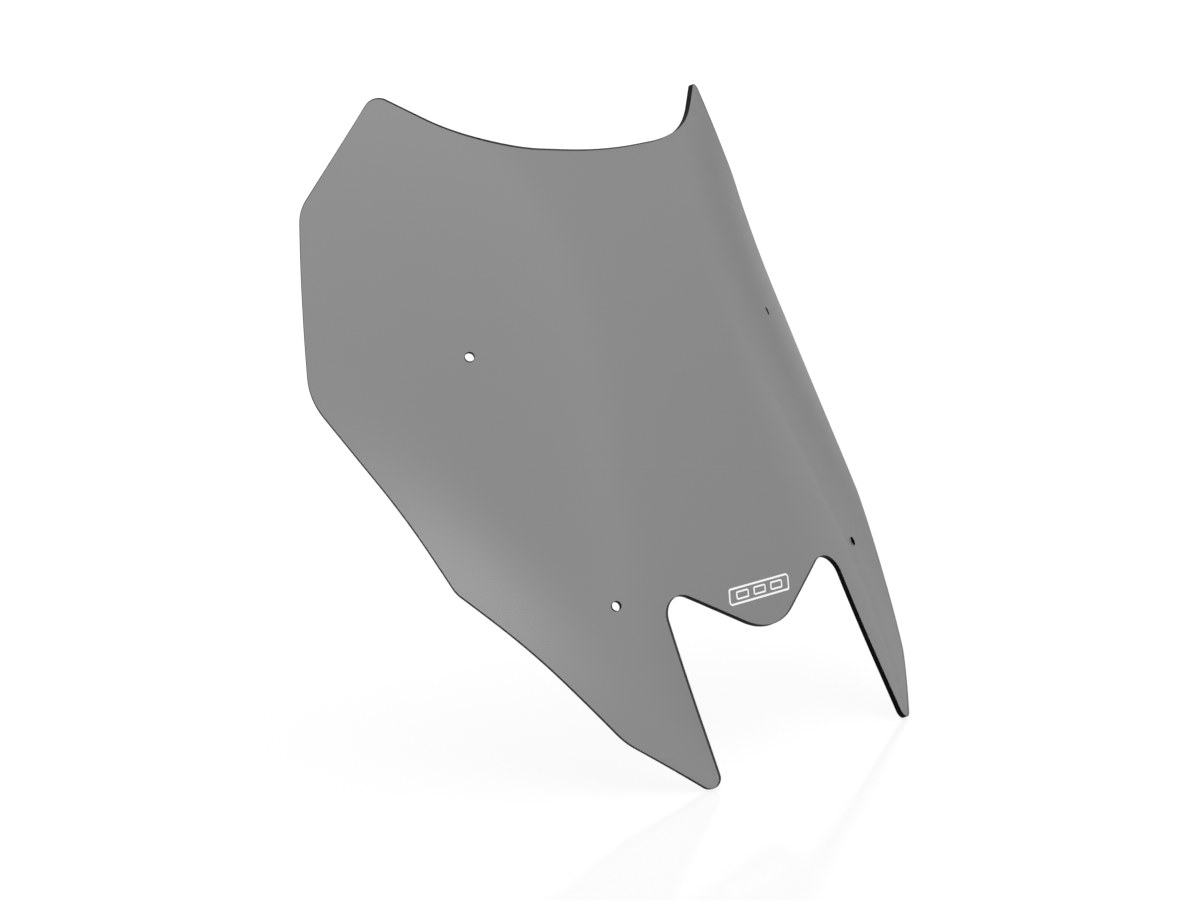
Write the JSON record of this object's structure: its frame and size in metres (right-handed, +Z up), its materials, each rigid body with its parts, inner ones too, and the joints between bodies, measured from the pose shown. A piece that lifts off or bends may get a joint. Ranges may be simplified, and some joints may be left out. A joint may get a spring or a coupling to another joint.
{
  "type": "motorcycle windshield screen",
  "caption": "Smoke-tinted acrylic touring screen, formed into a middle panel and two swept-back wings, with a dipped top, two pointed lower legs, a centre tab and screw holes in its wings.",
  "frame": {"origin": "centre of the pattern of the four screw holes, in the middle of the sheet's thickness at the holes", "axes": "+X across the bike, towards the rider's left and the right-hand side of the picture; -Y forwards into the wind, on the convex side; +Z up"},
  "size_m": [0.492, 0.2766, 0.4443],
  "materials": {
    "smoke_acrylic": "polished smoke-tinted acrylic sheet that lets about a quarter of the light through",
    "white_vinyl": "satin cut vinyl film"
  },
  "bodies": {
    "root": {"screen": "smoke_acrylic", "mark_border": "white_vinyl", "mark_bar_left": "white_vinyl", "mark_bar_middle": "white_vinyl", "mark_bar_right": "white_vinyl"}
  },
  "joints": []
}
